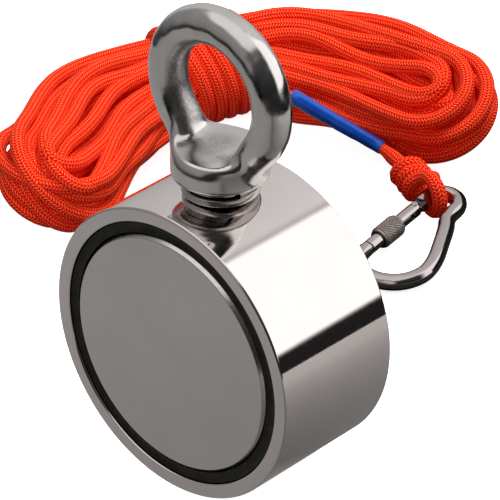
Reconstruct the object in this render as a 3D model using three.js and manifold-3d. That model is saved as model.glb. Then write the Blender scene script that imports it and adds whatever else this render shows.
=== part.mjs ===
// Fishing magnet standing on its curved side, with its eye bolt, and its rope and carabiner beside it.
// Millimetres, +Z up, floor at z = 0. The magnet's axis is Y and its front face looks along -Y.
import * as THREE from 'three';
import { mergeVertices } from 'three/addons/utils/BufferGeometryUtils.js';
import Module from 'manifold-3d';

const wasm = await Module();
wasm.setup();

const FIT_GAP = 0.3;

const BODY_RADIUS = 40;
const BODY_WIDTH = 39;
const WALL_INNER_RADIUS = 36;
const WEB_HALF = 7.5;
const RIM_CHAMFER = 0.4;
const MAGNET_RADIUS = 32.7;
const MAGNET_BEVEL = 0.6;
const EPOXY_RECESS = 0.8;

const BOLT_RADIUS = 5;
const BOLT_HOLE_RADIUS = 5.3;
const BOLT_HOLE_BOTTOM = 65;
const SHANK_BOTTOM = 67.9;
const COLLAR_SEAT = 84.9;
const COLLAR_RADIUS = 12.5;
const COLLAR_TOP = 93.9;
const RING_CENTRE = 107.8;
const RING_MAJOR = 17.6;
const RING_SECTION = 5;
const FLAT_WASHER = { inner: 5.3, outer: 10, bottom: 80.3, height: 1.8 };
const SPRING_WASHER = { inner: 5.4, outer: 9.3, bottom: 82.4, height: 2.2, split: 1.2 };

const ROPE_RADIUS = 2.25;
const LOBE_RADIUS = 17;
const LOBE_HEIGHT = 17.1;
const WRAPS_RADIUS = 16.5;
const WRAPS_HALF = 13;
const WRAPS_CENTRE = new THREE.Vector3(-126.3, 126.3, 16.7);
const WRAPS_ANGLE = 72.9;
const LEFT_TIP = new THREE.Vector3(-117.5, 52, LOBE_HEIGHT);
const RIGHT_TIP = new THREE.Vector3(-66, 157.5, LOBE_HEIGHT);
const SLEEVE_START = new THREE.Vector3(-88.1, 121, 23.4);
const SLEEVE_END = new THREE.Vector3(-65.1, 134.4, 9.5);
const SLEEVE_OUTER = 2.9;
const LEAD_START = new THREE.Vector3(-104.5, 125.5, 16.8);
const KNOT_CENTRE = new THREE.Vector3(-47.3, 127.9, 8);
const KNOT_SEMI_AXES = [6, 4.7, 5.5];
const KNOT_ANGLE = 43.5;

const EYE_CENTRE = new THREE.Vector3(-32.8, 124.1, 7.6);
const CARABINER_YAW = -70.4;
const CARABINER_PITCH = 7.7;
const WIRE_RADIUS = 2.4;
const EYE_MAJOR = 5.2;
const EYE_RISE = 0.4;
const GATE_PIVOT = [4.6, -6.2];
const GATE_ANGLE = -16.2;
const GATE_RADIUS = 2.1;
const GATE_LENGTH = 21.2;
const SLOT_HALF = 1.2;
const SLOT_END = 4.2;
const TONGUE_HALF = 0.9;
const TONGUE_WIDTH = 1.6;
const PIN_RADIUS = 0.65;
const PIN_HOLE_RADIUS = 0.95;
const SPRING_BORE = { radius: 1.4, end: 14 };
const GATE_SPRING = { radius: 0.85, wire: 0.25, start: 4.6, end: 13.4, turns: 5 };
const SCREW_SLEEVE = { inner: 2.4, outer: 3.3, start: 8.2, length: 8.4, chamfer: 0.3 };

const rad = THREE.MathUtils.degToRad;
const point = (x, y, z) => new THREE.Vector3(x, y, z);

function toSolid(geometry) {
  const plain = geometry.clone();
  plain.deleteAttribute('normal');
  plain.deleteAttribute('uv');
  const merged = mergeVertices(plain, 1e-4);
  const position = merged.attributes.position;
  const corners = [];
  let volume = 0;
  const [a, b, c] = [point(), point(), point()];
  for (let i = 0; i < merged.index.count; i += 3) {
    const ids = [0, 1, 2].map((k) => merged.index.getX(i + k));
    if (new Set(ids).size < 3) continue;
    a.fromBufferAttribute(position, ids[0]);
    b.fromBufferAttribute(position, ids[1]);
    c.fromBufferAttribute(position, ids[2]);
    volume += a.dot(b.clone().cross(c));
    corners.push(...ids);
  }
  if (volume < 0) corners.reverse();
  return new wasm.Manifold(
    new wasm.Mesh({
      numProp: 3,
      vertProperties: new Float32Array(position.array),
      triVerts: new Uint32Array(corners),
    }),
  );
}

function turned(profile, segments) {
  const points = profile.map(([r, h]) => new THREE.Vector2(r, h));
  return new THREE.LatheGeometry(points, segments);
}

function rod(radius, start, end, segments) {
  return turned([[0, start], [radius, start], [radius, end], [0, end]], segments);
}

function swept(path, radius, sides, steps, inner = 0) {
  const outline = new THREE.Shape();
  outline.absarc(0, 0, radius, 0, 2 * Math.PI);
  if (inner > 0) {
    const hole = new THREE.Path();
    hole.absarc(0, 0, inner, 0, 2 * Math.PI);
    outline.holes.push(hole);
  }
  return new THREE.ExtrudeGeometry(outline, {
    extrudePath: path,
    steps,
    curveSegments: sides,
    bevelEnabled: false,
  });
}

function smooth(points) {
  return new THREE.CatmullRomCurve3(points, false, 'centripetal');
}

function aimed(geometry, from, to) {
  const turn = new THREE.Quaternion();
  turn.setFromUnitVectors(point(0, 1, 0), to.clone().sub(from).normalize());
  return geometry.applyQuaternion(turn).translate(from.x, from.y, from.z);
}

const group = new THREE.Group();
group.name = 'fishing_magnet';

function addNode(name, solid, colour, metalness, roughness) {
  const mesh = solid.getMesh();
  const geometry = new THREE.BufferGeometry();
  geometry.setAttribute('position', new THREE.BufferAttribute(new Float32Array(mesh.vertProperties), 3));
  geometry.setIndex(new THREE.BufferAttribute(new Uint32Array(mesh.triVerts), 1));
  geometry.computeVertexNormals();
  const material = new THREE.MeshStandardMaterial({ color: colour, metalness, roughness });
  material.name = name;
  const node = new THREE.Mesh(geometry, material);
  node.name = name;
  group.add(node);
}

const NICKEL = 0xb8b4b2;
const STEEL = 0x9a9896;
const ORANGE = 0xff4a1c;

// The steel body: a wall joined by a web, with the bolt's hole in its curved side.
const half = BODY_WIDTH / 2;
const bodyProfile = [
  [0, -WEB_HALF],
  [WALL_INNER_RADIUS, -WEB_HALF],
  [WALL_INNER_RADIUS, -half],
  [BODY_RADIUS - RIM_CHAMFER, -half],
  [BODY_RADIUS, -half + RIM_CHAMFER],
  [BODY_RADIUS, half - RIM_CHAMFER],
  [BODY_RADIUS - RIM_CHAMFER, half],
  [WALL_INNER_RADIUS, half],
  [WALL_INNER_RADIUS, WEB_HALF],
  [0, WEB_HALF],
];
const bodyBlank = toSolid(turned(bodyProfile, 72).translate(0, 0, BODY_RADIUS));
const boltHole = rod(BOLT_HOLE_RADIUS, BOLT_HOLE_BOTTOM, 2 * BODY_RADIUS + 2, 24);
addNode('steel_body', bodyBlank.subtract(toSolid(boltHole.rotateX(Math.PI / 2))), NICKEL, 1, 0.15);

// A disc magnet and its ring of epoxy on each side.
const discProfile = [
  [0, WEB_HALF + FIT_GAP],
  [MAGNET_RADIUS, WEB_HALF + FIT_GAP],
  [MAGNET_RADIUS, half - MAGNET_BEVEL],
  [MAGNET_RADIUS - MAGNET_BEVEL, half],
  [0, half],
];
const epoxyProfile = [
  [MAGNET_RADIUS + FIT_GAP, WEB_HALF + FIT_GAP],
  [WALL_INNER_RADIUS - FIT_GAP, WEB_HALF + FIT_GAP],
  [WALL_INNER_RADIUS - FIT_GAP, half - EPOXY_RECESS],
  [MAGNET_RADIUS + FIT_GAP, half - EPOXY_RECESS],
  [MAGNET_RADIUS + FIT_GAP, WEB_HALF + FIT_GAP],
];
for (const [side, turn] of [['front', Math.PI], ['back', 0]]) {
  const disc = turned(discProfile, 60).rotateX(turn).translate(0, 0, BODY_RADIUS);
  const epoxy = turned(epoxyProfile, 60).rotateX(turn).translate(0, 0, BODY_RADIUS);
  addNode(`${side}_magnet`, toSolid(disc), 0x8f8c8a, 1, 0.3);
  addNode(`${side}_epoxy_ring`, toSolid(epoxy), 0x101010, 0, 0.4);
}

// The eye bolt, forged in one: shank, collar and ring.
const boltProfile = [
  [0, SHANK_BOTTOM],
  [BOLT_RADIUS - 0.8, SHANK_BOTTOM],
  [BOLT_RADIUS, SHANK_BOTTOM + 0.8],
  [BOLT_RADIUS, COLLAR_SEAT],
  [COLLAR_RADIUS - 0.8, COLLAR_SEAT],
  [COLLAR_RADIUS, COLLAR_SEAT + 0.8],
  [COLLAR_RADIUS, COLLAR_TOP - 1.2],
  [COLLAR_RADIUS - 1, COLLAR_TOP],
  [7, COLLAR_TOP + 1],
  [0, COLLAR_TOP + 1.4],
];
const boltStem = toSolid(turned(boltProfile, 32).rotateX(Math.PI / 2));
const ring = new THREE.TorusGeometry(RING_MAJOR, RING_SECTION, 16, 48);
const ringSolid = toSolid(ring.rotateX(Math.PI / 2).translate(0, 0, RING_CENTRE));
addNode('eye_bolt', boltStem.add(ringSolid), STEEL, 1, 0.3);

function washer({ inner, outer, bottom, height }) {
  const top = bottom + height;
  const profile = [[inner, bottom], [outer, bottom], [outer, top], [inner, top], [inner, bottom]];
  return toSolid(turned(profile, 32).rotateX(Math.PI / 2));
}
addNode('flat_washer', washer(FLAT_WASHER), STEEL, 1, 0.3);
const splitCut = new THREE.BoxGeometry(12, SPRING_WASHER.split, 8);
const splitSolid = toSolid(splitCut.translate(7, 0, SPRING_WASHER.bottom));
addNode('spring_washer', washer(SPRING_WASHER).subtract(splitSolid), STEEL, 1, 0.3);

// The hank: two lobes of folded rope and the turns wound round its waist.
const wrapsDirection = point(Math.cos(rad(WRAPS_ANGLE)), Math.sin(rad(WRAPS_ANGLE)), 0);
const wrapsEnds = [-1, 1].map((s) => WRAPS_CENTRE.clone().addScaledVector(wrapsDirection, s * WRAPS_HALF));
const wrapsLength = 2 * WRAPS_HALF;
const wrapsProfile = [
  [0, 0],
  [WRAPS_RADIUS - 2, 0],
  [WRAPS_RADIUS, 2],
  [WRAPS_RADIUS, wrapsLength - 2],
  [WRAPS_RADIUS - 2, wrapsLength],
  [0, wrapsLength],
];
const wraps = aimed(turned(wrapsProfile, 28), wrapsEnds[0], wrapsEnds[1]);
addNode('rope_hank_wraps', toSolid(wraps), ORANGE, 0, 0.8);

const waistBlock = new THREE.BoxGeometry(90, wrapsLength + 2 * FIT_GAP, 90);
const waist = toSolid(aimed(waistBlock, WRAPS_CENTRE, wrapsEnds[1]));

function lobe(tip, waistEnd) {
  const inner = waistEnd.clone().setZ(LOBE_HEIGHT);
  const length = inner.distanceTo(tip);
  const profile = [[0, 0], [LOBE_RADIUS, 0], [LOBE_RADIUS, length]];
  for (let i = 1; i <= 6; i += 1) {
    const angle = rad(i * 15);
    profile.push([i < 6 ? LOBE_RADIUS * Math.cos(angle) : 0, length + LOBE_RADIUS * Math.sin(angle)]);
  }
  const trimmed = toSolid(aimed(turned(profile, 24), inner, tip)).subtract(waist);
  return trimmed.decompose().sort((a, b) => b.volume() - a.volume())[0];
}
addNode('rope_hank_left', lobe(LEFT_TIP, wrapsEnds[0]), ORANGE, 0, 0.8);
addNode('rope_hank_right', lobe(RIGHT_TIP, wrapsEnds[1]), ORANGE, 0, 0.8);

// The rope's free stretch, the shrink sleeve on it, the knot and the loop through the carabiner's eye.
const leadPoints = [LEAD_START, point(-97, 121.2, 22)];
for (const share of [-0.12, 0, 0.25, 0.5, 0.75, 1]) {
  leadPoints.push(SLEEVE_START.clone().lerp(SLEEVE_END, share));
}
leadPoints.push(point(-61, 135.7, 7.6), point(-56.8, 133.5, 7.2), point(-52.6, 130.2, 7.9));
addNode('rope_lead', toSolid(swept(smooth(leadPoints), ROPE_RADIUS, 10, 18)), ORANGE, 0, 0.8);

const sleevePath = new THREE.LineCurve3(SLEEVE_START, SLEEVE_END);
const sleeveTube = swept(sleevePath, SLEEVE_OUTER, 16, 1, ROPE_RADIUS + FIT_GAP);
addNode('heat_shrink_sleeve', toSolid(sleeveTube), 0x1450c8, 0, 0.3);

const knot = new THREE.SphereGeometry(1, 16, 10).scale(...KNOT_SEMI_AXES);
knot.rotateZ(rad(KNOT_ANGLE)).translate(...KNOT_CENTRE);
addNode('rope_knot', toSolid(knot), ORANGE, 0, 0.8);

const toKnot = KNOT_CENTRE.clone().sub(EYE_CENTRE).setZ(0).normalize();
const wireCentre = EYE_CENTRE.clone().addScaledVector(toKnot, EYE_MAJOR);
wireCentre.z += EYE_RISE;
const loopRadius = WIRE_RADIUS + ROPE_RADIUS + 0.4;
const loopPoints = [];
const knotReach = KNOT_CENTRE.distanceTo(wireCentre) - 6;
for (const side of [1, -1]) {
  const end = wireCentre.clone().addScaledVector(toKnot, knotReach);
  end.z += side * (loopRadius - 1.3);
  loopPoints.push(end);
}
for (let i = 0; i <= 8; i += 1) {
  const angle = rad(90 - i * 22.5);
  const bend = wireCentre.clone().addScaledVector(toKnot, -loopRadius * Math.cos(angle));
  bend.z += loopRadius * Math.sin(angle);
  loopPoints.splice(loopPoints.length - 1, 0, bend);
}
addNode('rope_loop', toSolid(swept(smooth(loopPoints), ROPE_RADIUS, 10, 26)), ORANGE, 0, 0.8);

// The carabiner, drawn flat with its eye at the origin and its long side along X, then laid in place.
const place = new THREE.Matrix4().makeTranslation(...EYE_CENTRE);
place.multiply(new THREE.Matrix4().makeRotationZ(rad(CARABINER_YAW)));
place.multiply(new THREE.Matrix4().makeRotationY(rad(CARABINER_PITCH)));
const placeGate = place.clone().multiply(new THREE.Matrix4().makeTranslation(...GATE_PIVOT, 0));
placeGate.multiply(new THREE.Matrix4().makeRotationZ(rad(GATE_ANGLE)));

const alongGate = (distance) => [
  GATE_PIVOT[0] + distance * Math.cos(rad(GATE_ANGLE)),
  GATE_PIVOT[1] + distance * Math.sin(rad(GATE_ANGLE)),
];
const onEye = (degrees) => [EYE_MAJOR * Math.cos(rad(degrees)), EYE_MAJOR * Math.sin(rad(degrees))];
const wirePath = [
  alongGate(GATE_LENGTH + 0.4),
  alongGate(GATE_LENGTH + 2.6),
  [31.8, -12.9],
  [36, -9.4],
  [37.7, -3.8],
  [36.2, 2.2],
  [31.4, 6.6],
  [25.2, 7.6],
  [16, 6.4],
  [9.3, 5.2],
  [6, 4.2],
  onEye(61),
  onEye(90),
  onEye(135),
  onEye(180),
  onEye(225),
  onEye(262),
  alongGate(-2.6),
];
const wireCurve = smooth(wirePath.map(([x, y]) => point(x, y, 0)));
const wire = toSolid(swept(wireCurve, WIRE_RADIUS, 12, 70).applyMatrix4(place));
const tongueBar = new THREE.BoxGeometry(3.4, 2 * TONGUE_WIDTH, 2 * TONGUE_HALF).translate(-1.7, 0, 0);
const tongueEnd = rod(TONGUE_WIDTH, -TONGUE_HALF, TONGUE_HALF, 16).rotateX(Math.PI / 2);
const tongue = toSolid(tongueBar.applyMatrix4(placeGate)).add(toSolid(tongueEnd.applyMatrix4(placeGate)));
const pinHole = toSolid(rod(PIN_HOLE_RADIUS, -4, 4, 12).rotateX(Math.PI / 2).applyMatrix4(placeGate));
addNode('carabiner_body', wire.add(tongue).subtract(pinHole), STEEL, 1, 0.15);

const gateRod = toSolid(rod(GATE_RADIUS, 0, GATE_LENGTH, 20).rotateZ(-Math.PI / 2));
const gateEnd = toSolid(new THREE.SphereGeometry(GATE_RADIUS, 20, 12));
const gateSlot = toSolid(new THREE.BoxGeometry(8, 8, 2 * SLOT_HALF).translate(SLOT_END - 4, 0, 0));
const gateBore = toSolid(rod(SPRING_BORE.radius, SLOT_END - 0.5, SPRING_BORE.end, 14).rotateZ(-Math.PI / 2));
const gatePinHole = toSolid(rod(PIN_HOLE_RADIUS, -4, 4, 12).rotateX(Math.PI / 2));
const gate = gateRod.add(gateEnd).subtract(gateSlot).subtract(gateBore).subtract(gatePinHole);
const gateTransform = placeGate.toArray();
addNode('carabiner_gate', gate.transform(gateTransform), STEEL, 1, 0.2);

const pin = toSolid(rod(PIN_RADIUS, -2, 2, 12).rotateX(Math.PI / 2));
addNode('gate_pin', pin.transform(gateTransform), STEEL, 1, 0.2);

const coilPoints = [];
for (let i = 0; i <= GATE_SPRING.turns * 10; i += 1) {
  const share = i / (GATE_SPRING.turns * 10);
  const angle = share * GATE_SPRING.turns * 2 * Math.PI;
  const x = GATE_SPRING.start + share * (GATE_SPRING.end - GATE_SPRING.start);
  coilPoints.push(point(x, GATE_SPRING.radius * Math.cos(angle), GATE_SPRING.radius * Math.sin(angle)));
}
const coil = swept(smooth(coilPoints), GATE_SPRING.wire, 6, GATE_SPRING.turns * 10);
addNode('gate_spring', toSolid(coil).transform(gateTransform), STEEL, 1, 0.3);

const sleeveEnd = SCREW_SLEEVE.start + SCREW_SLEEVE.length;
const screwProfile = [
  [SCREW_SLEEVE.inner, SCREW_SLEEVE.start],
  [SCREW_SLEEVE.outer - SCREW_SLEEVE.chamfer, SCREW_SLEEVE.start],
  [SCREW_SLEEVE.outer, SCREW_SLEEVE.start + SCREW_SLEEVE.chamfer],
  [SCREW_SLEEVE.outer, sleeveEnd - SCREW_SLEEVE.chamfer],
  [SCREW_SLEEVE.outer - SCREW_SLEEVE.chamfer, sleeveEnd],
  [SCREW_SLEEVE.inner, sleeveEnd],
  [SCREW_SLEEVE.inner, SCREW_SLEEVE.start],
];
const screwSleeve = toSolid(turned(screwProfile, 24).rotateZ(-Math.PI / 2));
addNode('screw_sleeve', screwSleeve.transform(gateTransform), 0x6e6662, 1, 0.5);

export default group;
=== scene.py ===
import math

import bpy
import numpy as np
from mathutils import Matrix, Vector


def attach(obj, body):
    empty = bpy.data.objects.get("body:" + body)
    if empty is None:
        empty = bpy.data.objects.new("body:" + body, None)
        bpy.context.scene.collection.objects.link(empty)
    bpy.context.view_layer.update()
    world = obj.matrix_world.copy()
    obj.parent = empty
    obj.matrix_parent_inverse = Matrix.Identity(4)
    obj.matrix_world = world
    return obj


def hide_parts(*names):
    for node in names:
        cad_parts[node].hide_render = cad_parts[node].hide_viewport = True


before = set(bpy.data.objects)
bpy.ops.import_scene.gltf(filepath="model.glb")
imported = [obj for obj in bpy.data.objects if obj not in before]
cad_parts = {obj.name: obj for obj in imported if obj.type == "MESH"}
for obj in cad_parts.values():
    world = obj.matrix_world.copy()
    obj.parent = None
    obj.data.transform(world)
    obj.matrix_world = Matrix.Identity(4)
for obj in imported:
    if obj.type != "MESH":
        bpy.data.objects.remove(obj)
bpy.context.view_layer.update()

MM = 0.001
DOME_HEIGHT = 0.8
RING_HEIGHT = 107.8
SHARP_ANGLE = 35

# ---------------------------------------------------------------- shape helpers, in millimetres


def unit(v):
    v = np.asarray(v, float)
    return v / np.linalg.norm(v)


def catmull(points, per_span=16):
    """A centripetal Catmull-Rom curve through the points."""
    p = np.asarray(points, float)
    p = np.vstack([2 * p[0] - p[1], p, 2 * p[-1] - p[-2]])
    out = []
    for a, b, c, d in zip(p[:-3], p[1:-2], p[2:-1], p[3:]):
        t = np.cumsum([0] + [max(np.linalg.norm(v) ** 0.5, 1e-6) for v in (b - a, c - b, d - c)])
        x = np.linspace(t[1], t[2], per_span, endpoint=False)[:, None]
        ab = (t[1] - x) / (t[1] - t[0]) * a + (x - t[0]) / (t[1] - t[0]) * b
        bc = (t[2] - x) / (t[2] - t[1]) * b + (x - t[1]) / (t[2] - t[1]) * c
        cd = (t[3] - x) / (t[3] - t[2]) * c + (x - t[2]) / (t[3] - t[2]) * d
        abc = (t[2] - x) / (t[2] - t[0]) * ab + (x - t[0]) / (t[2] - t[0]) * bc
        bcd = (t[3] - x) / (t[3] - t[1]) * bc + (x - t[1]) / (t[3] - t[1]) * cd
        out.append((t[2] - x) / (t[2] - t[1]) * abc + (x - t[1]) / (t[2] - t[1]) * bcd)
    return np.vstack(out + [p[-2:-1]])


def arc_length(points):
    return np.concatenate([[0], np.cumsum(np.linalg.norm(np.diff(points, axis=0), axis=1))])


def resample(points, step):
    s = arc_length(points)
    x = np.linspace(0, s[-1], max(2, int(round(s[-1] / step)) + 1))
    return np.stack([np.interp(x, s, points[:, k]) for k in range(3)], 1)


def soften(points, width):
    """Averages each point with its neighbours and keeps both ends; width is in points."""
    reach = int(width * 3)
    kernel = np.exp(-0.5 * (np.arange(-reach, reach + 1) / width) ** 2)
    kernel /= kernel.sum()
    padded = np.vstack([np.repeat(points[:1], reach, 0), points, np.repeat(points[-1:], reach, 0)])
    out = np.stack([np.convolve(padded[:, k], kernel, "valid") for k in range(3)], 1)
    out[0], out[-1] = points[0], points[-1]
    return out


def frames(points):
    """Tangent and two normals that don't twist along the points."""
    tangent = np.gradient(points, axis=0)
    tangent /= np.linalg.norm(tangent, axis=1)[:, None]
    side = np.zeros_like(points)
    start = np.cross(tangent[0], [0.0, 0.0, 1.0])
    if np.linalg.norm(start) < 0.2:
        start = np.cross(tangent[0], [1.0, 0.0, 0.0])
    side[0] = unit(start)
    for i in range(1, len(points)):
        v = side[i - 1] - tangent[i] * np.dot(side[i - 1], tangent[i])
        side[i] = v / np.linalg.norm(v)
    return tangent, side, np.cross(tangent, side)


def make(name, verts, faces, material, uvs=None, sharp=SHARP_ANGLE):
    """An object from vertices in millimetres. uvs is one pair for each face corner."""
    mesh = bpy.data.meshes.new(name)
    mesh.from_pydata((np.asarray(verts) * MM).tolist(), [], [tuple(map(int, f)) for f in faces])
    if uvs is not None:
        layer = mesh.uv_layers.new(name="along")
        layer.data.foreach_set("uv", np.asarray(uvs, np.float32).ravel())
    mesh.validate()
    mesh.shade_smooth()
    mesh.set_sharp_from_angle(angle=math.radians(sharp))
    mesh.materials.append(material)
    obj = bpy.data.objects.new(name, mesh)
    bpy.context.scene.collection.objects.link(obj)
    return obj


def tube(points, radius, sides, round_ends=0):
    """Vertices, faces and UVs of a tube. radius is a number or one for each point.

    A UV is turns round the tube and millimetres along it. round_ends is the number of rings in each domed end.
    """
    n = len(points)
    r = np.broadcast_to(np.asarray(radius, float), (n,)).copy()
    s = arc_length(points)
    points = points.copy()
    if round_ends:
        lean = np.linspace(0.15, math.pi / 2, round_ends, endpoint=False)
        dome = np.sin(lean)
        t0, t1 = unit(points[1] - points[0]), unit(points[-1] - points[-2])
        head = points[0] - t0 * (r[0] * np.cos(lean))[:, None] * DOME_HEIGHT
        tail = points[-1] + t1 * (r[-1] * np.cos(lean))[::-1][:, None] * DOME_HEIGHT
        points = np.vstack([head, points, tail])
        r = np.concatenate([r[0] * dome, r, r[-1] * dome[::-1]])
        s = arc_length(points)
        n = len(points)
    tangent, side, up = frames(points)
    angle = np.linspace(0, 2 * math.pi, sides, endpoint=False)
    ring = side[:, None] * np.cos(angle)[None, :, None] + up[:, None] * np.sin(angle)[None, :, None]
    verts = (points[:, None] + ring * r[:, None, None]).reshape(-1, 3)
    faces, uvs = [], []
    for i in range(n - 1):
        for k in range(sides):
            m = (k + 1) % sides
            faces.append((i * sides + k, i * sides + m, (i + 1) * sides + m, (i + 1) * sides + k))
            here, there = k / sides, (k + 1) / sides
            uvs += [(here, s[i]), (there, s[i]), (there, s[i + 1]), (here, s[i + 1])]
    for i, flip in ((0, True), (n - 1, False)):
        loop = [i * sides + k for k in range(sides)]
        faces.append(loop[::-1] if flip else loop)
        uvs += [(0, s[i])] * sides
    return verts, faces, uvs


def turned(profile, segments, axis="z", closed=False):
    """A lathe mesh. profile is (radius, height) pairs; a radius of 0 ends on the axis."""
    verts, rings = [], []
    for r, h in profile:
        if r < 1e-6:
            rings.append([len(verts)])
            verts.append((0, 0, h))
            continue
        rings.append(list(range(len(verts), len(verts) + segments)))
        for k in range(segments):
            a = 2 * math.pi * k / segments
            verts.append((r * math.cos(a), r * math.sin(a), h))
    faces = []
    pairs = list(zip(rings[:-1], rings[1:])) + ([(rings[-1], rings[0])] if closed else [])
    for low, high in pairs:
        for k in range(segments):
            m = (k + 1) % segments
            if len(low) == 1 and len(high) > 1:
                faces.append((low[0], high[m], high[k]))
            elif len(high) == 1 and len(low) > 1:
                faces.append((low[k], low[m], high[0]))
            elif len(low) > 1:
                faces.append((low[k], low[m], high[m], high[k]))
    verts = np.array(verts, float)
    if axis == "y":
        verts = np.stack([verts[:, 0], verts[:, 2], -verts[:, 1]], 1)
    if axis == "x":
        verts = np.stack([verts[:, 2], verts[:, 0], verts[:, 1]], 1)
    return verts, faces


def rounded(profile, radius, steps):
    """The profile with its corners turned into small arcs."""
    p = [np.array(q, float) for q in profile]
    out = [p[0]]
    for a, b, c in zip(p[:-2], p[1:-1], p[2:]):
        r = min(radius, 0.45 * np.linalg.norm(a - b), 0.45 * np.linalg.norm(c - b))
        u, v = b + unit(a - b) * r, b + unit(c - b) * r
        for t in np.linspace(0, 1, steps + 1):
            out.append((1 - t) ** 2 * u + 2 * t * (1 - t) * b + t * t * v)
    return [tuple(q) for q in out + [p[-1]]]


def surface_net(field, low, step):
    """The zero surface of a sampled distance field, as a mesh of quads."""
    inside = field < 0
    shape = np.array(field.shape)
    total = np.zeros(tuple(shape - 1) + (3,))
    count = np.zeros(tuple(shape - 1))
    corner = [(0, 0, 0), (1, 0, 0), (0, 1, 0), (1, 1, 0), (0, 0, 1), (1, 0, 1), (0, 1, 1), (1, 1, 1)]

    def at(array, c):
        return array[tuple(slice(c[k], shape[k] - 1 + c[k]) for k in range(3))]

    for a in range(8):
        for b in range(a + 1, 8):
            if sum(abs(corner[a][k] - corner[b][k]) for k in range(3)) != 1:
                continue
            fa, fb = at(field, corner[a]), at(field, corner[b])
            cross = (fa < 0) != (fb < 0)
            t = np.where(cross, fa / np.where(cross, fa - fb, 1), 0)
            for k in range(3):
                total[..., k] += np.where(cross, corner[a][k] + t * (corner[b][k] - corner[a][k]), 0)
            count += cross
    cells = np.argwhere(count > 0)
    index = -np.ones(tuple(shape - 1), int)
    index[tuple(cells.T)] = np.arange(len(cells))
    offset = total[tuple(cells.T)] / count[tuple(cells.T)][:, None]
    verts = np.asarray(low) + (cells + offset) * step
    faces = []
    for k in range(3):
        one = [slice(None)] * 3
        two = [slice(None)] * 3
        one[k], two[k] = slice(None, -1), slice(1, None)
        a, b = inside[tuple(one)], inside[tuple(two)]
        u, v = [j for j in range(3) if j != k]
        for flip, hit in ((False, a & ~b), (True, ~a & b)):
            where = np.argwhere(hit)
            ok = (where[:, u] > 0) & (where[:, v] > 0)
            ok &= (where[:, u] < shape[u] - 1) & (where[:, v] < shape[v] - 1)
            where = where[ok]
            ring = []
            for du, dv in ((-1, -1), (0, -1), (0, 0), (-1, 0)):
                c = where.copy()
                c[:, u] += du
                c[:, v] += dv
                ring.append(index[tuple(c.T)])
            quad = np.stack(ring, 1)
            if flip != (k == 1):
                quad = quad[:, ::-1]
            faces.append(quad)
    return verts, np.vstack(faces)


def cut(obj, *tools):
    """Cuts the tool objects out of obj and removes them."""
    for tool in tools:
        m = obj.modifiers.new("cut", "BOOLEAN")
        m.operation, m.object, m.solver = "DIFFERENCE", tool, "EXACT"
    done = bpy.data.meshes.new_from_object(obj.evaluated_get(bpy.context.evaluated_depsgraph_get()))
    obj.modifiers.clear()
    obj.data = done
    for tool in tools:
        bpy.data.objects.remove(tool)
    done.shade_smooth()
    done.set_sharp_from_angle(angle=math.radians(SHARP_ANGLE))
    return obj


def band_faces(rows, around):
    """Quads between rings of points, one ring after another."""
    faces = []
    for i in range(rows - 1):
        for k in range(around):
            m = (k + 1) % around
            faces.append((i * around + k, i * around + m, (i + 1) * around + m, (i + 1) * around + k))
    return faces


def box_mesh(low, high):
    x, y, z = zip(low, high)
    verts = [(a, b, c) for a in x for b in y for c in z]
    faces = [(0, 1, 3, 2), (4, 6, 7, 5), (0, 4, 5, 1), (2, 3, 7, 6), (0, 2, 6, 4), (1, 5, 7, 3)]
    return verts, faces


# ---------------------------------------------------------------- materials


def material(name):
    m = bpy.data.materials.new(name)
    m.use_nodes = True
    return m, m.node_tree.nodes, m.node_tree.links, m.node_tree.nodes["Principled BSDF"]


def noise(nodes, links, scale, detail=3.0, stretch=None):
    coord = nodes.new("ShaderNodeTexCoord")
    tex = nodes.new("ShaderNodeTexNoise")
    tex.inputs["Scale"].default_value = scale
    tex.inputs["Detail"].default_value = detail
    source = coord.outputs["Object"]
    if stretch:
        mapping = nodes.new("ShaderNodeMapping")
        mapping.inputs["Scale"].default_value = stretch
        links.new(source, mapping.inputs["Vector"])
        source = mapping.outputs["Vector"]
    links.new(source, tex.inputs["Vector"])
    return tex.outputs["Fac"]


def spread(nodes, links, value, low, high, start=0.3, end=0.7):
    """Maps a value from start to end onto low to high. Noise stays mostly within 0.3 to 0.7."""
    m = nodes.new("ShaderNodeMapRange")
    m.inputs["From Min"].default_value = start
    m.inputs["From Max"].default_value = end
    m.inputs["To Min"].default_value = low
    m.inputs["To Max"].default_value = high
    links.new(value, m.inputs["Value"])
    return m.outputs["Result"]


def colour_ramp(nodes, links, value, stops):
    """A colour that follows value through stops of (position, (red, green, blue))."""
    ramp = nodes.new("ShaderNodeValToRGB")
    elements = ramp.color_ramp.elements
    for n, (position, colour) in enumerate(stops):
        element = elements[n] if n < 2 else elements.new(position)
        element.position = position
        element.color = (*colour, 1)
    links.new(value, ramp.inputs["Fac"])
    return ramp.outputs["Color"]


def blend_colour(nodes, links, value, dark, light):
    return colour_ramp(nodes, links, value, [(0.25, dark), (0.75, light)])


def mix_colours(nodes, links, share, first, second):
    mix = nodes.new("ShaderNodeMix")
    mix.data_type = "RGBA"
    colours = [i for i in mix.inputs if i.type == "RGBA"]
    links.new(share, mix.inputs[0])
    links.new(first, colours[0])
    links.new(second, colours[1])
    return [o for o in mix.outputs if o.type == "RGBA"][0]


def bump(nodes, links, value, strength, distance, bsdf):
    b = nodes.new("ShaderNodeBump")
    b.inputs["Strength"].default_value = strength
    b.inputs["Distance"].default_value = distance
    links.new(value, b.inputs["Height"])
    links.new(b.outputs["Normal"], bsdf.inputs["Normal"])


def metal(name, dark, light, rough, grain=900, relief=0.03, stretch=None):
    m, nodes, links, bsdf = material(name)
    bsdf.inputs["Metallic"].default_value = 1.0
    wide = noise(nodes, links, 60, 4)
    fine = noise(nodes, links, grain, 2, stretch)
    links.new(blend_colour(nodes, links, wide, dark, light), bsdf.inputs["Base Color"])
    links.new(spread(nodes, links, fine, *rough), bsdf.inputs["Roughness"])
    bump(nodes, links, fine, relief, 0.0001, bsdf)
    return m


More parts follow.
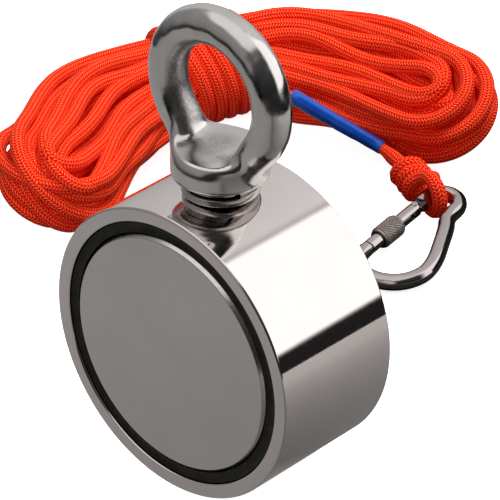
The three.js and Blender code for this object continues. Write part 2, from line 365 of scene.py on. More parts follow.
nickel = metal("nickel_mirror", (0.62, 0.58, 0.57), (0.66, 0.62, 0.61), (0.03, 0.07), 700, 0.01)
face_nickel = metal("nickel_satin", (0.54, 0.525, 0.51), (0.58, 0.565, 0.55), (0.18, 0.28), 420, 0.02,
                    (1, 1, 4))
bolt_steel = metal("bolt_steel", (0.50, 0.49, 0.48), (0.62, 0.61, 0.60), (0.10, 0.24), 420, 0.10)

# The disc between the ring's feet and the ring's inner side keep their rough forged skin, which ends between
# these distances from the ring's axis, in metres.
FORGED_EDGE = (0.0139, 0.0152)
FORGED_ROUGHNESS = 0.36
nodes, links = bolt_steel.node_tree.nodes, bolt_steel.node_tree.links
bsdf = nodes["Principled BSDF"]
coord = nodes.new("ShaderNodeTexCoord")
from_ring = nodes.new("ShaderNodeVectorMath")
from_ring.operation = "MULTIPLY_ADD"
from_ring.inputs[1].default_value = (1, 0.25, 1)
from_ring.inputs[2].default_value = (0, 0, -RING_HEIGHT * MM)
links.new(coord.outputs["Object"], from_ring.inputs[0])
ring_distance = nodes.new("ShaderNodeVectorMath")
ring_distance.operation = "LENGTH"
links.new(from_ring.outputs["Vector"], ring_distance.inputs[0])
forged = spread(nodes, links, ring_distance.outputs["Value"], 1.0, 0.0, *FORGED_EDGE)
polished_colour = bsdf.inputs["Base Color"].links[0].from_socket
polished_rough = bsdf.inputs["Roughness"].links[0].from_socket
forged_colour = blend_colour(nodes, links, noise(nodes, links, 1500, 4), (0.22, 0.21, 0.205),
                             (0.50, 0.49, 0.48))
links.new(mix_colours(nodes, links, forged, polished_colour, forged_colour), bsdf.inputs["Base Color"])
skin_rough = nodes.new("ShaderNodeMix")
links.new(forged, skin_rough.inputs[0])
links.new(polished_rough, skin_rough.inputs[2])
skin_rough.inputs[3].default_value = FORGED_ROUGHNESS
links.new(skin_rough.outputs[0], bsdf.inputs["Roughness"])

washer_steel = metal("washer_steel", (0.48, 0.46, 0.44), (0.62, 0.60, 0.58), (0.12, 0.28), 600, 0.08)
wire_steel = metal("carabiner_wire", (0.38, 0.35, 0.345), (0.47, 0.44, 0.43), (0.05, 0.13), 600, 0.03)
knurl_steel = metal("knurled_steel", (0.26, 0.23, 0.21), (0.42, 0.38, 0.35), (0.35, 0.55), 900, 0.15)
spring_steel = metal("spring_steel", (0.40, 0.39, 0.38), (0.55, 0.54, 0.53), (0.2, 0.35), 900, 0.05)

epoxy, nodes, links, bsdf = material("black_epoxy")
links.new(blend_colour(nodes, links, noise(nodes, links, 300), (0.004, 0.004, 0.004), (0.014, 0.013, 0.012)),
          bsdf.inputs["Base Color"])
links.new(spread(nodes, links, noise(nodes, links, 500), 0.25, 0.5), bsdf.inputs["Roughness"])
bsdf.inputs["Specular IOR Level"].default_value = 0.12
bump(nodes, links, noise(nodes, links, 260, 5), 0.3, 0.0003, bsdf)

shrink, nodes, links, bsdf = material("blue_shrink_tube")
links.new(blend_colour(nodes, links, noise(nodes, links, 200), (0.001, 0.046, 0.33), (0.002, 0.080, 0.46)),
          bsdf.inputs["Base Color"])
links.new(spread(nodes, links, noise(nodes, links, 700), 0.18, 0.32), bsdf.inputs["Roughness"])
bump(nodes, links, noise(nodes, links, 420, 3), 0.15, 0.0002, bsdf)


BRAID_COLUMNS = 6.0
BRAID_SLOPE = 2.0
STITCH_LENGTH = 0.9
TURN = 6.28318


def rope_material():
    """Braided sheath: columns of slanted stitches round the rope, in chevrons. Its colour paints shade into the
    gaps between stitches and a highlight on the stitch tops.
    """
    m, nodes, links, bsdf = material("braided_rope")

    def math_node(kind, a, b=None, c=None):
        n = nodes.new("ShaderNodeMath")
        n.operation = kind
        for socket, value in zip(n.inputs, (a, b, c)):
            if value is None:
                continue
            if isinstance(value, (int, float)):
                socket.default_value = value
            else:
                links.new(value, socket)
        return n.outputs[0]

    uv = nodes.new("ShaderNodeUVMap")
    uv.uv_map = "along"
    split = nodes.new("ShaderNodeSeparateXYZ")
    links.new(uv.outputs["UV"], split.inputs["Vector"])
    column = math_node("MULTIPLY", split.outputs["X"], BRAID_COLUMNS)
    slope = math_node("MULTIPLY", math_node("PINGPONG", column, 0.5), BRAID_SLOPE)
    phase = math_node("ADD", math_node("DIVIDE", split.outputs["Y"], STITCH_LENGTH), slope)
    stitch = math_node("MULTIPLY_ADD", math_node("SINE", math_node("MULTIPLY", phase, TURN)), 0.5, 0.5)
    ridge = math_node("ABSOLUTE", math_node("SINE", math_node("MULTIPLY", column, TURN)))
    height = math_node("MULTIPLY", math_node("POWER", stitch, 0.6), math_node("POWER", ridge, 0.45))
    fibres = noise(nodes, links, 2500, 3)
    stitch_height_and_shade = math_node("MULTIPLY_ADD", fibres, 0.25, math_node("MULTIPLY", height, 0.85))
    # painted shade and highlight: this ramp darkens the gaps between stitches to deep red and lightens the
    # stitch tops to orange, on top of the bump's own shading
    colour = colour_ramp(nodes, links, stitch_height_and_shade, [(0.12, (0.70, 0.0005, 0.0002)), (0.5, (0.88, 0.008, 0.001)),
                                               (0.90, (1.0, 0.19, 0.065))])
    links.new(colour, bsdf.inputs["Base Color"])
    bsdf.inputs["Roughness"].default_value = 0.6
    # painted light: a faint red glow that lifts the rope's shaded sides, though the rope is no lamp
    bsdf.inputs["Emission Color"].default_value = (1, 0, 0, 1)
    bsdf.inputs["Emission Strength"].default_value = 0.06
    bsdf.inputs["Specular IOR Level"].default_value = 0.05
    bump(nodes, links, stitch_height_and_shade, 0.7, 0.0005, bsdf)
    return m


rope_skin = rope_material()

# ---------------------------------------------------------------- camera

CENTRE = np.array([0.0, 0.0, 40.0])
AZIMUTH, ELEVATION, ROLL = 43.56, 31.585, -0.427
DISTANCE, SHIFT_RIGHT, SHIFT_UP = 927.04, 7.022, 18.819
FOCAL_LENGTH, SENSOR = 262.42, 36
azimuth, elevation, roll = math.radians(AZIMUTH), math.radians(ELEVATION), math.radians(ROLL)
back = np.array([math.sin(azimuth) * math.cos(elevation), -math.cos(azimuth) * math.cos(elevation),
                 math.sin(elevation)])
right = unit(np.cross(-back, [0, 0, 1]))
up = np.cross(right, -back)
right, up = (math.cos(roll) * right + math.sin(roll) * up, -math.sin(roll) * right + math.cos(roll) * up)
camera_data = bpy.data.cameras.new("camera")
camera_data.lens, camera_data.sensor_width = FOCAL_LENGTH, SENSOR
camera_data.clip_start, camera_data.clip_end = 0.05, 50
camera = bpy.data.objects.new("camera", camera_data)
spot = (CENTRE + back * DISTANCE + right * SHIFT_RIGHT + up * SHIFT_UP) * MM
camera.matrix_world = Matrix([[right[k], up[k], back[k], spot[k]] for k in range(3)] + [[0, 0, 0, 1]])
bpy.context.scene.collection.objects.link(camera)
bpy.context.scene.camera = camera

# ---------------------------------------------------------------- carabiner placing, shared with the rope

EYE = np.array([-32.8, 124.1, 7.6])
YAW, PITCH_DOWN, GATE_TURN = -70.4, 7.7, -16.2
PIVOT = np.array([4.6, -6.2, 0])


def turn_about_z(degrees):
    a = math.radians(degrees)
    return np.array([[math.cos(a), -math.sin(a), 0], [math.sin(a), math.cos(a), 0], [0, 0, 1]])


pitch = math.radians(PITCH_DOWN)
LAY = turn_about_z(YAW) @ np.array(
    [[math.cos(pitch), 0, math.sin(pitch)], [0, 1, 0], [-math.sin(pitch), 0, math.cos(pitch)]])
GATE = turn_about_z(GATE_TURN)


def laid(points):
    return np.asarray(points, float) @ LAY.T + EYE


def on_gate(points):
    return laid(np.asarray(points, float) @ GATE.T + PIVOT)


# ---------------------------------------------------------------- the rope

ROPE = 4.5
HALF = ROPE / 2
rng = np.random.default_rng(7)
SPINE = np.array([(-114.5, 50), (-126.5, 78.5), (-129.5, 104), (-127.5, 121), (-124, 132), (-118, 140.5),
                  (-109, 147.3), (-94, 152), (-75.5, 154), (-64.5, 156)], float)
spine = resample(soften(resample(catmull(np.column_stack([SPINE, np.zeros(len(SPINE))])), 1.0), 5), 1.0)
SPINE_LENGTH = arc_length(spine)[-1]
WAIST = 76.5
HEIGHT = 16.6
TILT = math.radians(30)


def on_spine(s):
    """Place, forward and front directions along the hank's middle line, straight beyond its ends."""
    along = arc_length(spine)
    inside = np.clip(s, 0, SPINE_LENGTH)
    place = np.array([np.interp(inside, along, spine[:, k]) for k in range(3)])
    ahead = np.array([np.interp(np.clip(inside + 4, 0, SPINE_LENGTH), along, spine[:, k]) for k in range(3)])
    behind = np.array([np.interp(np.clip(inside - 4, 0, SPINE_LENGTH), along, spine[:, k]) for k in range(3)])
    forward = unit(ahead - behind)
    place = place + forward * (s - inside)
    return place + [0, 0, HEIGHT], forward, np.array([forward[1], -forward[0], 0])


def hank_point(s, p, q):
    place, forward, front = on_spine(s)
    p_axis = -math.cos(TILT) * front + [0, 0, math.sin(TILT)]
    q_axis = math.sin(TILT) * front + [0, 0, math.cos(TILT)]
    return place + p * p_axis + q * q_axis


def squeeze(s):
    return math.exp(-((s - WAIST) / (31 if s < WAIST else 24)) ** 2)


def strand_offset(i, j, s):
    k = squeeze(s)
    stagger = (1.6 if j % 2 else -1.6) * (1 - k) if s < WAIST else 0
    return (i + 0.5) * (4.15 - 1.1 * k) + 1.3 * (1 - k), j * (4.4 - 1.1 * k), stagger


def strand(i, j, sign, s0, s1):
    """One pass of rope along the hank, with the small waves that loose rope has."""
    phases = rng.uniform(0, 2 * math.pi, 4)
    lengths = rng.uniform(45, 110, 4)
    steps = max(2, int(abs(s1 - s0) / 4))
    out = []
    for s in np.linspace(s0, s1, steps):
        p, q, shift = strand_offset(i, j, s)
        loose = 1.1 * (1 - squeeze(s)) + 0.15
        slow = math.sin(s / lengths[0] * 6.283 + phases[0])
        quick = math.sin(s / lengths[1] * 12 + phases[1])
        p += loose * (slow + 0.5 * quick)
        q += loose * 0.8 * math.sin(s / lengths[2] * 6.283 + phases[2])
        out.append((s, sign * p + shift, q))
    return out


LEAST_FOLD = 7.0


def fold(start, end, forward):
    """The half turn between two passes. forward is +1 at the right end of the hank and -1 at the left."""
    (s0, p0, q0), (s1, p1, q1) = start, end
    radius = max(abs(p0 - p1) / 2, LEAST_FOLD)
    out = []
    for a in np.radians(np.arange(15, 180, 15)):
        t = (1 - math.cos(a)) / 2
        s = s0 + (s1 - s0) * t + forward * (radius * math.sin(a))
        out.append((s, p0 + (p1 - p0) * t, q0 + (q1 - q0) * t))
    return out


def hank_path():
    """The folded passes, from the left side of the wraps to the bare end inside the hank."""
    order = [(3, 0), (3, 1), (2, 1), (1, 1), (0, 1), (0, 2), (1, 2), (2, 2), (3, -1), (2, -1), (1, -1),
             (0, -1), (0, -2), (1, -2), (2, -2), (2, 0), (1, 0), (0, 0)]
    left = [rng.uniform(-3, 5) for _ in order]
    left = [4.5 if i == 3 else value for (i, j), value in zip(order, left)]
    right_end = [rng.uniform(-2, 4.5) for _ in order]
    path = strand(*order[0], -1, WAIST - 20, left[0])
    for n in range(1, len(order)):
        i, j = order[n]
        last = n == len(order) - 1
        go = strand(i, j, 1, left[n], SPINE_LENGTH + right_end[n])
        back_again = strand(i, j, -1, SPINE_LENGTH + right_end[n], WAIST if last else left[n])
        path += fold(path[-1], go[0], -1) + go + fold(go[-1], back_again[0], 1) + back_again
    return np.array([hank_point(*q) for q in path])


def wraps_path(start_angle, turns, first, pitch_mm, radius):
    """Turns wound round the waist, moving from right to left."""
    place, forward, front = on_spine(WAIST)
    out = []
    for a in np.arange(0, turns * 360 + 1, 12):
        angle = math.radians(start_angle + a)
        upward = np.array([0, 0, 1]) - 0.2 * forward
        out.append(place + forward * (first - pitch_mm * a / 360)
                   + radius * (math.cos(angle) * front + math.sin(angle) * upward))
    return np.array(out)


KNOT_A = np.array([-43.0, 127.2, 7.7])
KNOT_B = np.array([-52.7, 131.4, 8.5])
SLEEVE_A = np.array([-88.1, 121.0, 23.4])
SLEEVE_B = np.array([-65.1, 134.4, 9.5])
to_knot = unit((KNOT_B - EYE) * [1, 1, 0])
wire_middle = EYE + to_knot * 5.2 + [0, 0, 0.4]


def knot_path():
    """Bare tail, turns round the standing rope, then the loop through the carabiner's eye and back."""
    axis = unit(KNOT_A - KNOT_B)
    side = unit(np.cross(axis, [0, 0, 1]))
    lift = np.cross(side, axis)
    length = np.linalg.norm(KNOT_A - KNOT_B)
    out = [KNOT_B + axis * 1.0 - side * 9.0 - lift * 5.2, KNOT_B - side * 6.0 - lift * 4.2]
    for a in np.arange(0, 2.7 * 360, 20):
        angle = math.radians(a + 200)
        out.append(KNOT_B + axis * length * a / (2.7 * 360)
                   + 3.75 * (math.cos(angle) * side + math.sin(angle) * lift))
    out.append(wire_middle + to_knot * 3.2 + [0, 0, 4.7])
    for a in np.arange(75, -106, -15):
        lean = math.radians(a)
        out.append(wire_middle + 4.85 * (-to_knot * math.cos(lean) + np.array([0, 0, math.sin(lean)])))
    out += [KNOT_A + [0, 0, -1.2], KNOT_A * 0.6 + KNOT_B * 0.4, KNOT_B,
            KNOT_B * 0.5 + SLEEVE_B * 0.5 + [0, 0, 0.2]]
    return out


wraps = wraps_path(12, 5.883, 14.6, 4.35, 14.2)
place, forward, front = on_spine(WAIST)
lead_in = [SLEEVE_B + (SLEEVE_A - SLEEVE_B) * t for t in (0, 0.25, 0.5, 0.75, 1)]
lead_in += [(-95.8, 122.0, 20.2), (-103.0, 125.6, 16.6), (-108.0, 129.6, 15.6)]
controls = knot_path() + lead_in + list(wraps) + list(hank_path())
rope_line = resample(soften(resample(catmull(np.array(controls), 6), 0.9), 1.6), 1.8)
rope_line[:, 2] = np.maximum(rope_line[:, 2], HALF + 0.05)
low_end = int(np.argmin(np.linalg.norm(rope_line - SLEEVE_B, axis=1)))
high_end = int(np.argmin(np.linalg.norm(rope_line - SLEEVE_A, axis=1)))
steps_away = np.maximum(low_end - np.arange(len(rope_line)), np.arange(len(rope_line)) - high_end)
rope_radius = HALF - 0.62 * np.clip(1 - (steps_away - 0.6) / 2.4, 0, 1)
verts, faces, uvs = tube(rope_line, rope_radius, 14, 3)
rope = make("rope", verts, faces, rope_skin, uvs, 80)

RINGS, SIDES = 40, 32
sleeve_line = rope_line[low_end:high_end + 1]
along = np.linspace(0, len(sleeve_line) - 1, RINGS)
sleeve_line = np.stack([np.interp(along, range(len(sleeve_line)), sleeve_line[:, k]) for k in range(3)], 1)
bulge = 0.08 * np.sin(np.linspace(0, 19, RINGS)) + 0.05 * np.sin(np.linspace(2, 41, RINGS))
outer = np.linspace(1.92, 2.38, RINGS) + bulge * 0.6
outer[0], outer[-1] = 1.84, 2.28
verts, faces, _ = tube(sleeve_line, outer, SIDES)
inner_verts, inner_faces, _ = tube(sleeve_line, np.linspace(1.66, 1.84, RINGS), SIDES)
count = len(verts)
faces = faces[:-2] + [tuple(count + k for k in f[::-1]) for f in inner_faces[:-2]]
for ring in (0, RINGS - 1):
    for k in range(SIDES):
        a, b = ring * SIDES + k, ring * SIDES + (k + 1) % SIDES
        faces.append((a, count + a, count + b, b) if ring == 0 else (a, b, count + b, count + a))
shrink_sleeve = make("heat_shrink", np.vstack([verts, inner_verts]), faces, shrink)

# ---------------------------------------------------------------- the magnet

RADIUS, HALF_WIDTH, WALL, WEB = 40.0, 19.5, 36.0, 7.5
RIM_CHAMFER = 0.4
DISC_RADIUS, DISC_FLAT_RADIUS, DISC_BEVEL = 32.7, 31.85, 1.36
MAGNET_GAP = 0.3
wall_profile = rounded([(0, -WEB), (WALL, -WEB), (WALL, -HALF_WIDTH + RIM_CHAMFER),
                        (WALL + RIM_CHAMFER, -HALF_WIDTH), (RADIUS - RIM_CHAMFER, -HALF_WIDTH),
                        (RADIUS, -HALF_WIDTH + RIM_CHAMFER), (RADIUS, HALF_WIDTH - RIM_CHAMFER),
                        (RADIUS - RIM_CHAMFER, HALF_WIDTH), (WALL + RIM_CHAMFER, HALF_WIDTH),
                        (WALL, HALF_WIDTH - RIM_CHAMFER), (WALL, WEB), (0, WEB)], 0.18, 3)
verts, faces = turned(wall_profile, 256, "y")
body = make("steel_body_shell", verts + CENTRE, faces, nickel, sharp=50)
hole = make("hole", *turned([(0, 65), (5.3, 65), (5.3, 84), (0, 84)], 64), nickel)
body = cut(body, hole)
mesh = body.data
normals = []
for poly in mesh.polygons:
    c = np.array(poly.center) / MM - CENTRE
    outward = abs(math.hypot(c[0], c[2]) - RADIUS) < 0.05 and abs(c[1]) < HALF_WIDTH - 0.6
    for li in poly.loop_indices:
        v = np.array(mesh.vertices[mesh.loops[li].vertex_index].co) / MM - CENTRE
        if outward:
            n = unit([v[0], 0, v[2]])
        else:
            n = np.array(mesh.corner_normals[li].vector)
        normals.append(tuple(n))
mesh.normals_split_custom_set(normals)
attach(body, "magnet")
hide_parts("steel_body")

disc_profile = rounded([(0, WEB + MAGNET_GAP), (DISC_RADIUS, WEB + MAGNET_GAP),
                        (DISC_RADIUS, HALF_WIDTH - DISC_BEVEL), (DISC_FLAT_RADIUS, HALF_WIDTH),
                        (0, HALF_WIDTH)], 0.22, 4)
groove_profile = [(33.0, WEB + MAGNET_GAP), (35.7, WEB + MAGNET_GAP), (35.75, 18.75), (35.3, 18.45),
                  (34.4, 18.3), (33.4, 18.42), (32.95, 18.7)]
for sign, side_name in ((-1, "front"), (1, "back")):
    for part, profile, skin, slot_name, closed in (
            ("magnet", disc_profile, face_nickel, "magnet_face", False),
            ("epoxy_ring", groove_profile, epoxy, "black_epoxy", True)):
        verts, faces = turned(profile, 192, "y", closed)
        if sign < 0:
            verts = verts * [-1, -1, 1]
        piece = make(f"{side_name}_{part}_look", verts + CENTRE, faces, skin)
        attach(piece, "magnet")
        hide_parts(f"{side_name}_{part}")

# ---------------------------------------------------------------- the eye bolt and its washers

STEP = 0.4
COLLAR_RADIUS, COLLAR_SEAT = 12.5, 84.9
RING_RADIUS, RING_SECTION = 17.6, 5.0
low = np.array([-24.0, -14.0, 84.0])
size = (121, 71, 120)
grid = np.stack(np.meshgrid(*[low[k] + STEP * np.arange(size[k]) for k in range(3)], indexing="ij"), -1)
x, y, z = grid[..., 0], grid[..., 1], grid[..., 2]
ring_field = np.hypot(np.hypot(x, z - RING_HEIGHT) - RING_RADIUS, y) - RING_SECTION
ring_field -= 0.05 * np.sin(x * 0.9 + 1) * np.sin(z * 0.7)
rho = np.hypot(x, y)
top = 94.4 - rho ** 2 / 95


def rounded_corner(a, b, radius):
    """The part inside both fields, its corner rounded."""
    a, b = a + radius, b + radius
    return np.minimum(np.maximum(a, b), 0) + np.hypot(np.maximum(a, 0), np.maximum(b, 0)) - radius


def smooth_min(a, b, width):
    h = np.clip(0.5 + 0.5 * (b - a) / width, 0, 1)
    return b * (1 - h) + a * h - width * h * (1 - h)


collar_field = rounded_corner(rounded_corner(rho - COLLAR_RADIUS, z - top, 1.6), COLLAR_SEAT - z, 0.7)
open_part = np.minimum(smooth_min(7.2 - np.hypot(x, 0.5 * y), z - top, 3.0), 104 - z)
field = -smooth_min(-smooth_min(collar_field, ring_field, 4.2), -open_part, 5.0)
verts, faces = surface_net(field, low, STEP)
bolt = make("eye_bolt_forging", verts, faces, bolt_steel, sharp=75)
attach(bolt, "bolt")
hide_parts("eye_bolt")

PITCH = 1.5
around, rows = 72, 150
THREAD_LOW, THREAD_HIGH = 68.0, 85.2
heights = np.linspace(THREAD_LOW, THREAD_HIGH, rows)
verts = []
for hgt in heights:
    fade = min(1, (hgt - THREAD_LOW) / PITCH, max(0.0, (84.6 - hgt) / 1.0))
    tip = 0.7 * (1 - min(1, (hgt - 67.6) / 1.5))
    for k in range(around):
        a = 2 * math.pi * k / around
        wave = abs(((hgt / PITCH - k / around) % 1) * 2 - 1)
        r = 4.95 - 0.85 * (1 - min(1, max(0, wave * 1.3 - 0.12))) * max(fade, 0) - tip
        verts.append((r * math.cos(a), r * math.sin(a), hgt))
faces = band_faces(rows, around)
faces += [tuple(range(around))[::-1], tuple((rows - 1) * around + k for k in range(around))]
thread = make("eye_bolt_thread", verts, faces, bolt_steel)
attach(thread, "bolt")

flat_profile = rounded([(5.3, 81.2), (5.3, 80.3), (10.0, 80.3), (10.0, 82.1), (5.3, 82.1), (5.3, 81.2)],
                       0.25, 3)
flat = make("flat_washer_look", *turned(flat_profile[:-1], 128, "z", True), washer_steel)
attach(flat, "magnet")
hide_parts("flat_washer")

section = [(5.5, 0.15), (5.65, 0), (9.05, 0), (9.2, 0.15), (9.2, 2.0), (9.05, 2.15), (5.65, 2.15), (5.5, 2.0)]
verts, count = [], 120
for i in range(count):
    share = i / (count - 1)
    a = math.radians(-14 + share * 350)
    for r, hgt in section:
        verts.append((r * math.cos(a), r * math.sin(a), 82.2 + hgt + 0.45 * share))
faces = [(i * 8 + k, (i + 1) * 8 + k, (i + 1) * 8 + (k + 1) % 8, i * 8 + (k + 1) % 8)
         for i in range(count - 1) for k in range(8)]
faces += [tuple(range(8)), tuple((count - 1) * 8 + k for k in range(8))[::-1]]
spring_washer = make("spring_washer_look", verts, faces, washer_steel)
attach(spring_washer, "bolt_carrier")
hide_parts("spring_washer")

# ---------------------------------------------------------------- the carabiner

WIRE = 2.4


def eye_point(degrees):
    return (5.2 * math.cos(math.radians(degrees)), 5.2 * math.sin(math.radians(degrees)), 0)


def gate_point(distance):
    return tuple(PIVOT + GATE @ np.array([distance, 0, 0]))


wire_points = [gate_point(21.6), gate_point(23.8), (31.8, -12.9, 0), (36, -9.4, 0), (37.7, -3.8, 0),
               (36.2, 2.2, 0), (31.4, 6.6, 0), (25.2, 7.6, 0), (16, 6.4, 0), (9.3, 5.2, 0), (6, 4.2, 0),
               eye_point(61), eye_point(90), eye_point(135), eye_point(180), eye_point(225), eye_point(262),
               gate_point(-2.6)]
wire_line = resample(soften(resample(catmull(wire_points), 0.5), 2), 0.6)
verts, faces, _ = tube(wire_line, WIRE - 0.28 * np.clip(1 - arc_length(wire_line) / 5, 0, 1), 40)
carabiner = make("carabiner_wire_look", laid(verts), faces, wire_steel)
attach(carabiner, "carabiner")
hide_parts("carabiner_body")

tongue_verts, tongue_faces = turned([(0, -0.9), (1.6, -0.9), (1.6, 0.9), (0, 0.9)], 32)
tongue = make("hinge_tongue_round", on_gate(tongue_verts), tongue_faces, wire_steel)
bar = make("hinge_tongue_bar", on_gate(box_mesh((-3.2, -1.58, -0.88), (0, 1.58, 0.88))[0]),
           box_mesh((0, 0, 0), (1, 1, 1))[1], wire_steel)
for piece in (tongue, bar):
    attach(piece, "carabiner")

dome = [(2.1 * math.sin(math.radians(a)), -2.1 * math.cos(math.radians(a))) for a in range(0, 90, 9)]
gate_profile = dome + rounded([(2.1, 0), (2.1, 21.2), (0, 21.2)], 0.25, 3)
gate_profile[0] = (0, -2.1)
gate = make("gate_look", *turned(gate_profile, 64, "x"), wire_steel)
slot_tool = make("slot_tool", *box_mesh((-4, -4, -1.2), (4.2, 4, 1.2)), wire_steel)
bore_tool = make("bore_tool", *turned([(0, 3.7), (1.4, 3.7), (1.4, 14), (0, 14)], 32, "x"), wire_steel)
gate = cut(gate, slot_tool, bore_tool)
gate.data.transform(Matrix([[*(LAY @ GATE)[k], 0] for k in range(3)] + [[0, 0, 0, 1]]))
gate.data.transform(Matrix.Translation(Vector(on_gate([[0, 0, 0]])[0] * MM)))
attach(gate, "gate")
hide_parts("carabiner_gate")

pin_profile = rounded([(0, -2.3), (0.85, -2.3), (1.05, -2.05), (0.65, -1.9), (0.65, 1.9), (1.05, 2.05),
                       (0.85, 2.3), (0, 2.3)], 0.1, 2)
verts, faces = turned(pin_profile, 32)
pin = make("gate_pin_look", on_gate(verts), faces, wire_steel)
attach(pin, "carabiner")
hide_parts("gate_pin")

coil = np.array([(4.6 + 8.8 * t, 0.85 * math.cos(t * 44), 0.85 * math.sin(t * 44))
                 for t in np.linspace(0, 1, 170)])
verts, faces, _ = tube(coil, 0.25, 10)
spring = make("gate_spring_look", on_gate(verts), faces, spring_steel)
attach(spring, "gate")
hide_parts("gate_spring")

SCREW_START, SCREW_END, SCREW_BORE = 8.2, 16.6, 2.4
KNURL_COUNT, KNURL_PITCH = 20, 1.1
around, rows = 200, 96
verts = []
for i in range(rows):
    xx = SCREW_START + 8.4 * i / (rows - 1)
    edge = min(1.0, (xx - SCREW_START) / 0.7, (SCREW_END - xx) / 0.7)
    for k in range(around):
        a = 2 * math.pi * k / around
        one = abs(((k / around * KNURL_COUNT + xx / KNURL_PITCH) % 1) * 2 - 1)
        two = abs(((k / around * KNURL_COUNT - xx / KNURL_PITCH) % 1) * 2 - 1)
        r = 2.92 + 0.14 * min(1, edge * 2) + 0.24 * min(1, min(one, two) * 2.4) * (1 if edge >= 1 else 0.0)
        verts.append((xx, r * math.cos(a), r * math.sin(a)))
inner_start = len(verts)
for xx in (SCREW_START, SCREW_END):
    for k in range(around):
        a = 2 * math.pi * k / around
        verts.append((xx, SCREW_BORE * math.cos(a), SCREW_BORE * math.sin(a)))
faces = band_faces(rows, around)
for k in range(around):
    m = (k + 1) % around
    last = (rows - 1) * around
    faces.append((inner_start + k, inner_start + around + k, inner_start + around + m, inner_start + m))
    faces.append((k, inner_start + k, inner_start + m, m))
    faces.append((last + k, last + m, inner_start + around + m, inner_start + around + k))
screw = make("screw_sleeve_look", on_gate(verts), faces, knurl_steel, sharp=30)
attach(screw, "sleeve")
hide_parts("screw_sleeve")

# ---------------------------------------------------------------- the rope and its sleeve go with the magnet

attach(rope, "magnet")
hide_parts("rope_hank_wraps", "rope_hank_left", "rope_hank_right", "rope_lead", "rope_knot", "rope_loop")
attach(shrink_sleeve, "magnet")
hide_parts("heat_shrink_sleeve")

# ---------------------------------------------------------------- floor and light

stage_paper, nodes, links, bsdf = material("stage_paper")
links.new(blend_colour(nodes, links, noise(nodes, links, 3), (0.90, 0.90, 0.90), (0.92, 0.92, 0.92)),
          bsdf.inputs["Base Color"])
bsdf.inputs["Roughness"].default_value = 0.9
bsdf.inputs["Emission Color"].default_value = (1, 1, 1, 1)
bsdf.inputs["Emission Strength"].default_value = 0.84
# painted reflection: a glowing grey card that polished metal sees in place of the floor, lighter far out and
# darker close to the magnet
painted_floor_reflection, nodes, links, bsdf = material("painted_floor_reflection")
coord = nodes.new("ShaderNodeTexCoord")
split = nodes.new("ShaderNodeSeparateXYZ")
links.new(coord.outputs["Object"], split.inputs["Vector"])
east = nodes.new("ShaderNodeMath")
east.operation = "MULTIPLY"
east.inputs[1].default_value = 0.617 / 0.787
links.new(split.outputs["Y"], east.inputs[0])
total = nodes.new("ShaderNodeMath")
links.new(split.outputs["X"], total.inputs[0])
links.new(east.outputs[0], total.inputs[1])
reach = nodes.new("ShaderNodeMapRange")
reach.inputs["From Min"].default_value = -0.2
reach.inputs["From Max"].default_value = 0.4
links.new(total.outputs[0], reach.inputs["Value"])
# painted shadow: the dip near the magnet stands for the magnet's own shadow on the floor, as the metal reflects
# it
painted_reflection_greys = [(-0.18, 0.40), (-0.14, 0.41), (0.0, 0.335), (0.035, 0.17), (0.1, 0.30), (0.25, 0.60), (0.4, 0.66)]
stops = [((metres + 0.2) / 0.6, (v, v * 0.975, v * 0.95)) for metres, v in painted_reflection_greys]
links.new(colour_ramp(nodes, links, reach.outputs["Result"], stops), bsdf.inputs["Emission Color"])
bsdf.inputs["Emission Strength"].default_value = 1.0
bsdf.inputs["Base Color"].default_value = (0, 0, 0, 1)
bsdf.inputs["Roughness"].default_value = 1.0
bsdf.inputs["Specular IOR Level"].default_value = 0.0

# painted shade: near-black sheets seen only in reflections, which darken the carabiner wire's outer side
painted_dark_reflection, nodes, links, bsdf = material("painted_dark_reflection")
links.new(blend_colour(nodes, links, noise(nodes, links, 3), (0.02, 0.02, 0.02), (0.04, 0.04, 0.04)),
          bsdf.inputs["Base Color"])
bsdf.inputs["Specular IOR Level"].default_value = 0.0


def reflection_only(obj):
    """Leaves obj to be seen in polished metal and nowhere else."""
    obj.visible_camera = False
    obj.visible_diffuse = False
    obj.visible_shadow = False


FLOOR = 4000
floor = make("floor", [(-FLOOR, -FLOOR, 0), (FLOOR, -FLOOR, 0), (FLOOR, FLOOR, 0), (-FLOOR, FLOOR, 0)],
             [(0, 1, 2, 3)], stage_paper)
floor.location.z = -0.0001
floor.visible_glossy = False
floor.visible_diffuse = False
# the card that carries the painted floor reflection and its painted shadow
card_verts, card_faces = turned([(0, 0), (330, 0)], 64)
card = make("mirror_card", card_verts, [f[::-1] for f in card_faces], painted_floor_reflection)
reflection_only(card)
# painted shade: a black disc under the carabiner and a black wall behind it, seen only in reflections
shade = make("shade_card", *turned([(0, 0), (70, 0)], 48), painted_dark_reflection)
shade.location = Vector((-12, 128, 0.1)) * MM
reflection_only(shade)
wall = make("shade_wall", *box_mesh((-75, 176, 0.2), (70, 177, 46)), painted_dark_reflection)
reflection_only(wall)

world = bpy.data.worlds.new("studio")
bpy.context.scene.world = world
world.use_nodes = True
nodes, links = world.node_tree.nodes, world.node_tree.links
background = nodes["Background"]
coord = nodes.new("ShaderNodeTexCoord")
split = nodes.new("ShaderNodeSeparateXYZ")
links.new(coord.outputs["Generated"], split.inputs["Vector"])
angle = nodes.new("ShaderNodeMath")
angle.operation = "ARCTAN2"
links.new(split.outputs["X"], angle.inputs[0])
links.new(split.outputs["Z"], angle.inputs[1])
scaled = nodes.new("ShaderNodeMapRange")
scaled.inputs["From Min"].default_value = -math.pi
scaled.inputs["From Max"].default_value = math.pi
links.new(angle.outputs[0], scaled.inputs["Value"])


def round_y(stops, green, blue):
    """Ramp stops from (degrees round the Y axis, brightness), slightly warm."""
    return [((degrees + 180) / 360, (v, v * green, v * blue)) for degrees, v in stops]


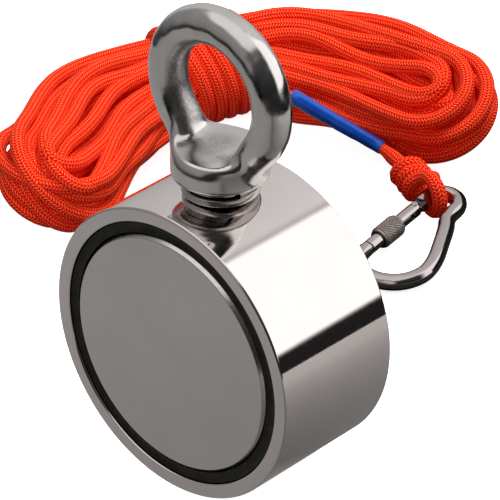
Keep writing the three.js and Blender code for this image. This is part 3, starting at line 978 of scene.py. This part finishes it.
direction = scaled.outputs["Result"]
studio = colour_ramp(nodes, links, direction, round_y(
    [(-180, 0.0), (-135, 0.3), (-88, 0.62), (-48, 0.80), (4, 0.95), (9, 0.66), (12, 1.7), (86, 1.7), (89, 0.02),
     (180, 0.0)], 0.975, 0.965))
room = colour_ramp(nodes, links, direction, round_y(
    [(-180, 0.0), (-105, 0.05), (-88, 0.28), (-50, 0.36), (20, 0.36), (34, 0.09), (76, 0.03), (180, 0.0)],
    0.99, 0.98))
panel = colour_ramp(nodes, links, direction, [(206 / 360, (1.2, 1.15, 1.16)), (214 / 360, (0.05, 0.05, 0.05))])
overhead = nodes.new("ShaderNodeMapRange")
overhead.interpolation_type = "SMOOTHSTEP"
overhead.inputs["From Min"].default_value = 0.62
overhead.inputs["From Max"].default_value = 0.80
links.new(split.outputs["Z"], overhead.inputs["Value"])
lit_room = mix_colours(nodes, links, overhead.outputs["Result"], room, panel)
behind = nodes.new("ShaderNodeMapRange")
behind.interpolation_type = "SMOOTHSTEP"
behind.inputs["From Min"].default_value = 0.10
behind.inputs["From Max"].default_value = 0.38
links.new(split.outputs["Y"], behind.inputs["Value"])
links.new(mix_colours(nodes, links, behind.outputs["Result"], lit_room, studio), background.inputs["Color"])
rays = nodes.new("ShaderNodeLightPath")
soft = nodes.new("ShaderNodeMapRange")
soft.inputs["To Min"].default_value = 1.0
soft.inputs["To Max"].default_value = 0.50
links.new(rays.outputs["Is Diffuse Ray"], soft.inputs["Value"])
links.new(soft.outputs["Result"], background.inputs["Strength"])


def soft_light(name, place, size_mm, power):
    data = bpy.data.lights.new(name, "AREA")
    data.shape, data.size, data.energy = "DISK", size_mm * MM, power
    lamp = bpy.data.objects.new(name, data)
    lamp.location = Vector(place) * MM
    lamp.rotation_euler = (Vector((-40, 60, 20)) - Vector(place)).to_track_quat("-Z", "Y").to_euler()
    bpy.context.scene.collection.objects.link(lamp)
    return lamp


key = soft_light("key", (-20, 300, 640), 300, 3.5)
key.visible_glossy = False
fill = soft_light("fill", (200, -500, 380), 260, 2.4)
fill.visible_glossy = False
bpy.context.scene.view_settings.view_transform = "Standard"
